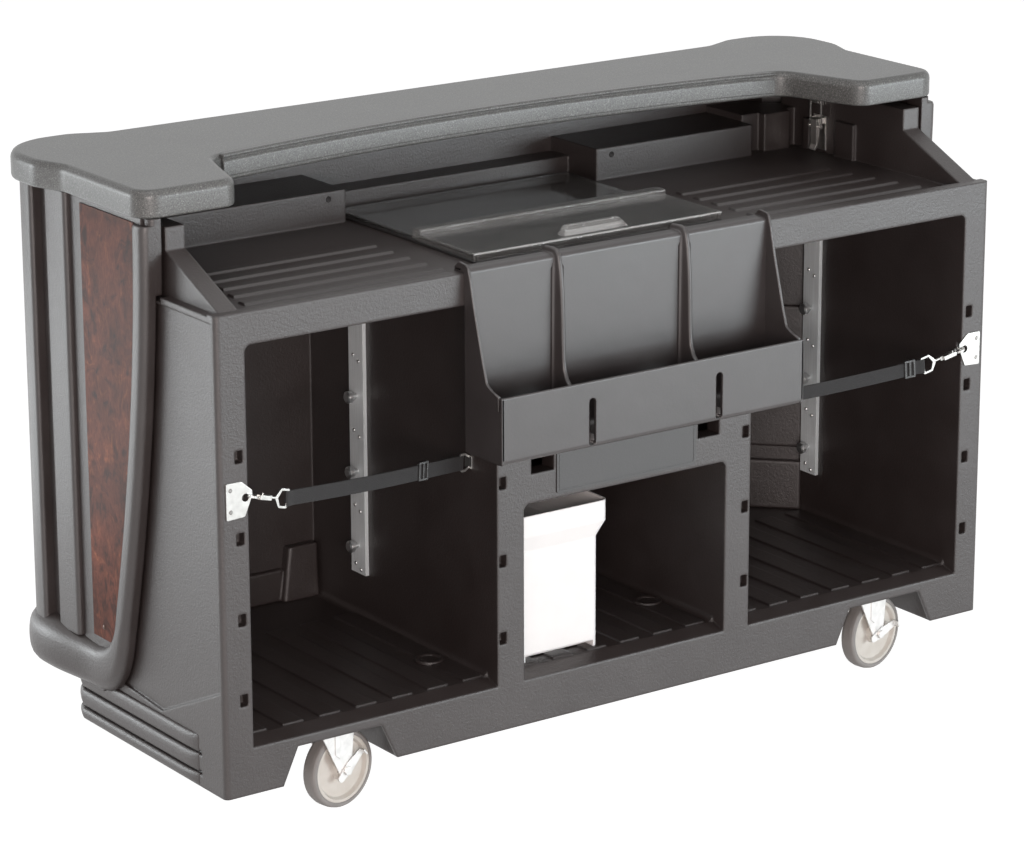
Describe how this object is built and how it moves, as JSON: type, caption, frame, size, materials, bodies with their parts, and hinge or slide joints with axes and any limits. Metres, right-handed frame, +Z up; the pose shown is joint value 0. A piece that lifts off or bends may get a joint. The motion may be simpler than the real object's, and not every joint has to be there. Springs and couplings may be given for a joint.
{
  "type": "mobile bar",
  "caption": "Wheeled serving bar with a moulded cabinet, open bays, an ice sink, a bottle rail, a wrap-round panelled facade and a raised bar top.",
  "frame": {"origin": "centre of the bounding box on the floor, z = 0 is where the casters stand", "axes": "+X along the bar's length, to the right as the bartender sees it; +Y from the bartender's side to the customer's side; +Z up"},
  "size_m": [1.91, 0.833, 1.183],
  "materials": {
    "moulding": "fine textured charcoal polyethylene",
    "facade": "fine textured charcoal polyethylene",
    "laminate": "semi-gloss red-brown burl laminate",
    "stone": "semi-gloss speckled granite-look solid surface",
    "steel": "brushed stainless steel",
    "nickel": "satin nickel plate",
    "zinc": "bright zinc plate",
    "sink": "black moulded basin",
    "brass": "plain cast brass",
    "red_grip": "red vinyl coating",
    "lid": "smoky clear plastic sheet",
    "black_plastic": "black moulded plastic",
    "label": "bare satin black plate",
    "white_plastic": "glossy white moulded plastic",
    "webbing": "woven black webbing",
    "hub": "cream moulded nylon",
    "tread": "grey non-marking rubber"
  },
  "bodies": {
    "bar": {"cabinet_body": "moulding", "facade_shell": "facade", "end_panel_left": "laminate", "end_panel_right": "laminate", "customer_panels": "laminate", "panel_screws": "steel", "bar_top": "stone", "latch_keepers": "nickel", "latch_bases": "nickel", "ice_sink": "sink", "sink_drain": "steel", "drain_valve": "brass", "rear_lid": "lid", "label_plate": "label", "shelf_rails": "steel", "shelf_knobs": "steel", "shelf_rail_screws": "steel", "tie_plate_left": "nickel", "tie_plate_right": "nickel", "tie_rivets": "steel", "snap_hook_left": "nickel", "snap_hook_right": "nickel", "strap_left": "webbing", "strap_right": "webbing", "slider_buckles": "black_plastic", "strap_anchors": "nickel", "caster_plates": "zinc", "caster_bolts": "zinc"},
    "front_lid": {"front_lid": "lid"},
    "speed_rail": {"speed_rail": "black_plastic"},
    "waste_container": {"waste_container": "white_plastic"},
    "drain_lever": {"drain_lever": "red_grip"},
    "latch_lever_left": {"latch_lever_left": "nickel"},
    "latch_lever_right": {"latch_lever_right": "nickel"},
    "latch_bail_left": {"latch_bail_left": "nickel"},
    "latch_bail_right": {"latch_bail_right": "nickel"},
    "snap_trigger_left": {"snap_trigger_left": "nickel"},
    "snap_trigger_right": {"snap_trigger_right": "nickel"},
    "brake_1": {"brake_lever_1": "zinc"},
    "brake_2": {"brake_lever_2": "zinc"},
    "caster_1": {"caster_fork_1": "zinc", "caster_axle_1": "zinc"},
    "wheel_1": {"wheel_hub_1": "hub", "tyre_1": "tread"},
    "caster_2": {"caster_fork_2": "zinc", "caster_axle_2": "zinc"},
    "wheel_2": {"wheel_hub_2": "hub", "tyre_2": "tread"},
    "caster_3": {"caster_fork_3": "zinc", "caster_axle_3": "zinc"},
    "wheel_3": {"wheel_hub_3": "hub", "tyre_3": "tread"},
    "caster_4": {"caster_fork_4": "zinc", "caster_axle_4": "zinc"},
    "wheel_4": {"wheel_hub_4": "hub", "tyre_4": "tread"}
  },
  "joints": [
    {"name": "swivel_1", "type": "hinge", "parent": "bar", "child": "caster_1", "pos_m": [-0.645, -0.2465, 0.16], "axis": [0, 0, 1], "continuous": true},
    {"name": "spin_1", "type": "hinge", "parent": "caster_1", "child": "wheel_1", "pos_m": [-0.6253, -0.24303, 0.076], "axis": [0.1736, -0.9848, 0], "continuous": true},
    {"name": "brake_press_1", "type": "hinge", "parent": "caster_1", "child": "brake_1", "pos_m": [-0.6253, -0.24303, 0.076], "axis": [0.1736, -0.9848, 0], "range_deg": [-23, 0]},
    {"name": "swivel_2", "type": "hinge", "parent": "bar", "child": "caster_2", "pos_m": [0.645, -0.2465, 0.16], "axis": [0, 0, 1], "continuous": true},
    {"name": "spin_2", "type": "hinge", "parent": "caster_2", "child": "wheel_2", "pos_m": [0.6647, -0.24303, 0.076], "axis": [0.1736, -0.9848, 0], "continuous": true},
    {"name": "brake_press_2", "type": "hinge", "parent": "caster_2", "child": "brake_2", "pos_m": [0.6647, -0.24303, 0.076], "axis": [0.1736, -0.9848, 0], "range_deg": [0, 23]},
    {"name": "swivel_3", "type": "hinge", "parent": "bar", "child": "caster_3", "pos_m": [-0.645, 0.2615, 0.16], "axis": [0, 0, 1], "continuous": true},
    {"name": "spin_3", "type": "hinge", "parent": "caster_3", "child": "wheel_3", "pos_m": [-0.6253, 0.26497, 0.076], "axis": [0.1736, -0.9848, 0], "continuous": true},
    {"name": "swivel_4", "type": "hinge", "parent": "bar", "child": "caster_4", "pos_m": [0.645, 0.2615, 0.16], "axis": [0, 0, 1], "continuous": true},
    {"name": "spin_4", "type": "hinge", "parent": "caster_4", "child": "wheel_4", "pos_m": [0.6647, 0.26497, 0.076], "axis": [0.1736, -0.9848, 0], "continuous": true},
    {"name": "latch_open_left", "type": "hinge", "parent": "bar", "child": "latch_lever_left", "pos_m": [-0.827, 0.1565, 1.047], "axis": [0, -1, 0], "range_deg": [0, 90]},
    {"name": "bail_swing_left", "type": "hinge", "parent": "latch_lever_left", "child": "latch_bail_left", "pos_m": [-0.827, 0.1565, 1.035], "axis": [0, -1, 0], "range_deg": [-73, 0]},
    {"name": "latch_open_right", "type": "hinge", "parent": "bar", "child": "latch_lever_right", "pos_m": [0.827, 0.1565, 1.047], "axis": [0, 1, 0], "range_deg": [0, 90]},
    {"name": "bail_swing_right", "type": "hinge", "parent": "latch_lever_right", "child": "latch_bail_right", "pos_m": [0.827, 0.1565, 1.035], "axis": [0, 1, 0], "range_deg": [-73, 0]},
    {"name": "front_lid_slide", "type": "slide", "parent": "bar", "child": "front_lid", "axis": [0, 1, 0], "range_m": [0, 0.2]},
    {"name": "speed_rail_lift", "type": "slide", "parent": "bar", "child": "speed_rail", "axis": [0, 0, 1], "range_m": [0, 0.12]},
    {"name": "container_slide", "type": "slide", "parent": "bar", "child": "waste_container", "axis": [0, -1, 0], "range_m": [0, 0.45]},
    {"name": "drain_turn", "type": "hinge", "parent": "bar", "child": "drain_lever", "pos_m": [0.09, -0.0145, 0.454], "axis": [0, 1, 0], "range_deg": [0, 90]},
    {"name": "snap_pull_left", "type": "slide", "parent": "bar", "child": "snap_trigger_left", "axis": [0.9458, 0.1771, -0.2724], "range_m": [0, 0.007], "stiffness_N_per_m": 500, "springref_m": -0.002},
    {"name": "snap_pull_right", "type": "slide", "parent": "bar", "child": "snap_trigger_right", "axis": [-0.9458, 0.1771, -0.2724], "range_m": [0, 0.007], "stiffness_N_per_m": 500, "springref_m": -0.002}
  ],
  "couplings": [
    {"joint": "bail_swing_left", "follows": "latch_open_left", "ratio": -0.81},
    {"joint": "bail_swing_right", "follows": "latch_open_right", "ratio": -0.81}
  ]
}
